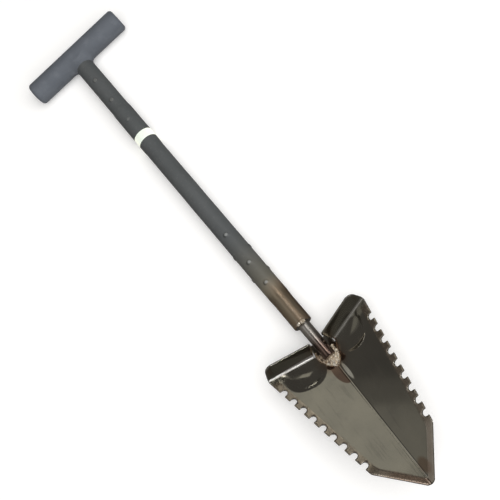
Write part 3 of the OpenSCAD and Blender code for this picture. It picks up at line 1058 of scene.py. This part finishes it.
def upper_sleeve(material):
    """As thick as the ring at first, then thin up to the grip."""
    start = MOUTH + RING_DIST + RING_W
    stop = GRIP_DIST - GRIP_R - ROOT_R
    pins = [(p, 0.0) for p in GRIP_PINS]

    def base(dist):
        return RING_R - (RING_R - UPPER_R) * smooth_step((dist - start - THICK_LEN + 4) / 8)

    piece = sleeve("upper_sleeve_skin", start, stop, base, pins, TUBE_R + 1.1, 0.35)
    finish_piece(piece, "upper_sleeve", material)


def marker_ring(material):
    """Band with softened rims, which knows its front for the painted shade along it."""
    soft = 0.35
    low, high = MOUTH + RING_DIST, MOUTH + RING_DIST + RING_W
    profile = [
        (low, TUBE_R + SLACK), *arc((low + soft, RING_R - soft), soft, 180, 90, 4),
        *arc((high - soft, RING_R - soft), soft, 90, 0, 4), (high, TUBE_R + SLACK),
    ]
    piece = lathe("marker_band", densify(profile, 2), 128, closed=True)
    points = np.array([v.co for v in piece.data.vertices])
    middle = (shaft_point(low, 0, 0) + shaft_point(high, 0, 0)) / 2
    forward = row_direction(0, -SIN_PITCH, COS_PITCH)
    facing = (points - middle) @ forward / (RING_R * MM)
    front_start, front_fade = 0.45, 0.5
    write_masks(piece, {"front": smooth_step((facing - front_start) / front_fade)})
    finish_piece(piece, "marker_ring", material)


# ---- welds, grip ----


def fused(name, pieces, voxel, passes):
    """Joins overlapping lumps into one closed skin and smooths it."""
    work = bmesh.new()
    for piece in pieces:
        work.from_mesh(piece.data)
        bpy.data.objects.remove(piece)
    made = bmesh_object(name, work)
    remesh = made.modifiers.new("remesh", "REMESH")
    remesh.mode = "VOXEL"
    remesh.voxel_size = voxel * MM
    if passes:
        smooth = made.modifiers.new("smooth", "SMOOTH")
        smooth.iterations = passes
        smooth.factor = 0.5
    graph = bpy.context.evaluated_depsgraph_get()
    made.data = bpy.data.meshes.new_from_object(made.evaluated_get(graph))
    made.modifiers.clear()
    made.data.shade_smooth()
    return made


def lump(centre, radii, direction=(0, 1, 0)):
    """One oval lump of weld metal, whose second radius lies along its direction."""
    work = bmesh.new()
    bmesh.ops.create_icosphere(work, subdivisions=3, radius=1)
    turn = Vector(direction).to_track_quat("Y", "Z").to_matrix().to_4x4()
    size = Matrix.Diagonal((*[r * MM for r in radii], 1))
    work.transform(Matrix.Translation(Vector(centre)) @ turn @ size)
    return bmesh_object("lump", work)


def weld_run(path, radius, pitch):
    """Overlapping lumps along a path, like the ripples of a weld bead."""
    lumps = []
    for a, b in zip(path, path[1:]):
        a, b = Vector(a), Vector(b)
        count = math.ceil((b - a).length / (pitch * MM))
        for i in range(count):
            swell = 1 + 0.16 * float(RNG.standard_normal())
            drift = Vector(RNG.normal(0, 0.25 * MM, 3))
            radii = (radius * swell, radius * 0.72, radius * swell)
            lumps.append(lump(a.lerp(b, i / count) + drift, radii, b - a))
    return lumps


def blade_weld(material):
    """Filled core under the stem's end, with a lumpy bead round it on both faces."""
    lumps = []
    for dist in np.linspace(-14, -3, 5):
        lumps.append(lump(shaft_point(dist, 0, -6), (6, 5, 5)))
    left = [(14.6, 3), (15.2, -4), (14.2, -11), (11, -17), (6.6, -21.4), (2.4, -24.6), (0, -25.8)]
    right = [(10.2, -2), (11.2, -8), (10.6, -14), (8, -19.4), (3.4, -24.2), (0, -25.8)]
    for side, outer in ((LEFT, left), (RIGHT, right)):
        middle = [(u * 0.80, v * 0.88) for u, v in outer[1:]]
        inner = [(u * 0.58, v * 0.76) for u, v in outer[2:]]
        for path, height, radius, pitch in (
            (outer, 0.8, 1.9, 2.5), (middle, 2.0, 2.1, 3.0), (inner, 3.0, 2.2, 3.0),
        ):
            lumps += weld_run([on_face(u, v, side, height) for u, v in path], radius, pitch)
    piece = fused("blade_weld_bead", lumps, 0.42, 1)
    finish_piece(piece, "blade_weld", material)


def tube_end_weld(material):
    """Stitch beads over the tube's lip, front and back of the rod."""
    lumps = []
    dist, out = MOUTH + 0.6, TUBE_R - 0.4
    for turn in (-21, -11, 7, 17, 159, 169, 187, 197):
        angle = math.radians(turn)
        size = 2.5 + 0.25 * float(RNG.standard_normal())
        where = shaft_point(dist, out * math.sin(angle), out * math.cos(angle))
        lumps.append(lump(where, (size, size, size)))
    piece = fused("tube_end_stitches", lumps, 0.35, 2)
    finish_piece(piece, "tube_end_weld", material)


def grip_field(points):
    """Signed distance in mm to the grip's skin: a round-ended bar blended into the shaft's root."""
    origin = shaft_point(GRIP_DIST, 0, 0)
    axis = row_direction(0, COS_PITCH, SIN_PITCH)
    local = (points - origin) / MM
    along = local @ axis
    x = local[:, 0]
    front = np.sqrt(np.maximum((local ** 2).sum(axis=1) - along ** 2 - x ** 2, 0))
    bar_out = np.hypot(along, front) - (GRIP_R - GRIP_END_R)
    bar_end = np.abs(x) - (GRIP_LEN / 2 - GRIP_END_R)
    inside = np.minimum(np.maximum(bar_out, bar_end), 0)
    bar = inside + np.hypot(np.maximum(bar_out, 0), np.maximum(bar_end, 0)) - GRIP_END_R
    root_out = np.hypot(x, front) - UPPER_R - ROOT_SWELL
    root_ends = np.maximum(-GRIP_R - ROOT_R - along, along + GRIP_R - ROOT_R)
    return smooth_min(bar, np.maximum(root_out, root_ends), ROOT_BLEND)


def crossbar_grip(material):
    """The moulded T: the CAD solid remeshed finely and drawn onto one blended outer skin."""
    source = new_object("grip_source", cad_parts["crossbar_grip"].data.copy())
    low = GRIP_DIST - GRIP_R - ROOT_R
    high, radius = low + 9, UPPER_R + 0.3
    profile = [(low, AXIS_R), (low, radius), (high, radius), (high, AXIS_R)]
    root = lathe("grip_root", profile, 64, closed=False)
    piece = fused("crossbar_grip_rubber", [source, root], 1.0, 0)
    points = np.array([v.co for v in piece.data.vertices])
    outer = grip_field(points) > -GRIP_SKIN_DEPTH
    step = 1e-5
    for _ in range(4):
        level = grip_field(points)
        ahead = [grip_field(points + offset) for offset in step * np.eye(3)]
        slope = (np.stack(ahead, axis=1) - level[:, None]) * MM / step
        move = level[:, None] * slope / (slope ** 2).sum(axis=1)[:, None].clip(0.2)
        points = np.where(outer[:, None], points - move * MM, points)
    piece.data.vertices.foreach_set("co", points.astype(np.float32).ravel())
    piece.data.update()
    piece.data.shade_smooth()
    piece.data.set_sharp_from_angle(angle=math.radians(60))
    finish_piece(piece, "crossbar_grip", material)


# ---- building ----


def build_shovel():
    """Builds every piece that shows, and paints the CAD nodes that stay as they are."""
    sleeve_skin, weld = sleeve_rubber(), weld_metal()
    painted = (
        (
            mill_steel("inner_steel", 0.45),
            ("stem_bush", "handle_spigot", "handle_weld", "crossbar_tube"),
        ),
        (mill_steel("pin_steel", 0.38), ("stem_pins_front", "stem_pins_side", "handle_pins")),
        (plug_plastic(), ("crossbar_plug_left", "crossbar_plug_right")),
    )
    blade(blade_steel())
    stem_rod(stem_steel())
    shaft_tube(tube_steel())
    lower_sleeve(sleeve_skin)
    upper_sleeve(sleeve_skin)
    marker_ring(marker_plastic())
    blade_weld(weld)
    tube_end_weld(weld)
    crossbar_grip(grip_rubber())
    for material, nodes in painted:
        for node in nodes:
            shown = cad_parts[node].data.materials
            shown.clear()
            shown.append(material)


def floor():
    """Plain pale floor under the whole scene."""
    n = Nodes("studio_floor")
    body = n.mix(n.noise(3, 3), (0.86, 0.855, 0.845), (0.88, 0.875, 0.865))
    work = bmesh.new()
    bmesh.ops.create_grid(work, x_segments=8, y_segments=8, size=6)
    made = bmesh_object("studio_floor", work)
    glow = {"Specular_IOR_Level": 0.0, "Emission_Color": body, "Emission_Strength": 0.25}
    pale = n.finish(body, 0.9, n.bump(n.noise(300, 2), 0.05, 0.0005), **glow)
    made.data.materials.append(pale)
    made.visible_glossy = False


def aimed(back, roll):
    """Rotation of a camera or light whose back points along a direction, rolled about it."""
    flat_right = Vector((0, 0, 1)).cross(back).normalized()
    flat_up = back.cross(flat_right)
    right = flat_right * math.cos(roll) - flat_up * math.sin(roll)
    up = flat_right * math.sin(roll) + flat_up * math.cos(roll)
    return Matrix((right, up, back)).transposed().to_4x4()


def sky_direction(azimuth, elevation):
    """Unit vector; azimuth 0 is along +Y and 90 along +X."""
    a, e = math.radians(azimuth), math.radians(elevation)
    return Vector((math.sin(a) * math.cos(e), math.cos(a) * math.cos(e), math.sin(e)))


def soft_box(name, azimuth, elevation, distance, width, height, radiance, colour):
    """A rectangular light of a given radiance that faces the tool."""
    light = bpy.data.lights.new(name, "AREA")
    light.shape = "RECTANGLE"
    light.size, light.size_y = width, height
    light.energy = radiance * math.pi * width * height
    light.color = colour
    made = new_object(name, light)
    back = sky_direction(azimuth, elevation)
    aim = Vector(row_point(0, -60, 20))
    made.matrix_world = Matrix.Translation(aim + back * distance) @ aimed(back, 0)
    return made


def lighting():
    """A dim world, panels that show only as reflections, and one wash that does the lighting."""
    world = bpy.data.worlds.new("studio")
    world.use_nodes = True
    background = world.node_tree.nodes["Background"]
    background.inputs["Color"].default_value = (0.104, 0.098, 0.092, 1)
    background.inputs["Strength"].default_value = 1.0
    bpy.context.scene.world = world
    warm, white = (1.0, 0.97, 0.86), (1, 1, 1)
    for box in (
        ("back_panel", 38, 28.4, 4, 0.76, 0.60, 0.46, warm),
        ("strip_panel", 22, 39.8, 4, 0.42, 0.54, 1.30, warm),
        ("crease_panel", -8, 40, 1.5, 0.50, 0.45, 0.60, warm),
        ("side_panel", -60, 20, 1.5, 0.62, 0.34, 0.13, warm),
        ("side_glow", -58.5, 18, 1.5, 0.70, 0.44, 0.05, warm),
        ("key_box", 99, 56, 1.5, 0.18, 0.26, 16.0, white),
        ("fold_box", 75, 54, 1.5, 0.11, 0.18, 7.0, white),
        ("fill_box", 262, 46, 1.6, 0.35, 0.35, 0.5, white),
        ("overhead_box", -50, 53, 1.5, 1.1, 0.65, 0.42, white),
        ("low_box", -80, 2, 1.5, 0.35, 0.40, 0.30, white),
        ("rod_box", 70, 42, 1.5, 0.36, 0.50, 0.50, white),
        ("rod_top_box", 47, 64, 1.5, 0.42, 0.42, 2.5, white),
        ("front_panel", 180, 38, 1.5, 3.0, 0.8, 0.14, white),
        ("horizon_strip", 0, -1, 1.5, 2.2, 0.045, 1.5, white),
    ):
        soft_box(*box).visible_diffuse = False
    soft_box("top_wash", 150, 66, 3.0, 5.0, 5.0, 2.4, white).visible_glossy = False


def camera():
    """Stands where the photograph was taken from: above the blade's front, rolled."""
    azimuth, elevation, roll, distance = 168.45, 68.4, 52.9, 1.26418
    aim_offset = Vector((0.01017, -0.02581, -0.01181))
    data = bpy.data.cameras.new("camera")
    data.lens = 72
    data.sensor_width = 36
    made = new_object("camera", data)
    back = sky_direction(azimuth, elevation)
    place = (CAD_LOW + CAD_HIGH) / 2 + aim_offset + back * distance
    made.matrix_world = Matrix.Translation(place) @ aimed(back, math.radians(roll))
    bpy.context.scene.camera = made


camera()
lighting()
floor()
build_shovel()
bpy.context.scene.view_settings.view_transform = "Standard"
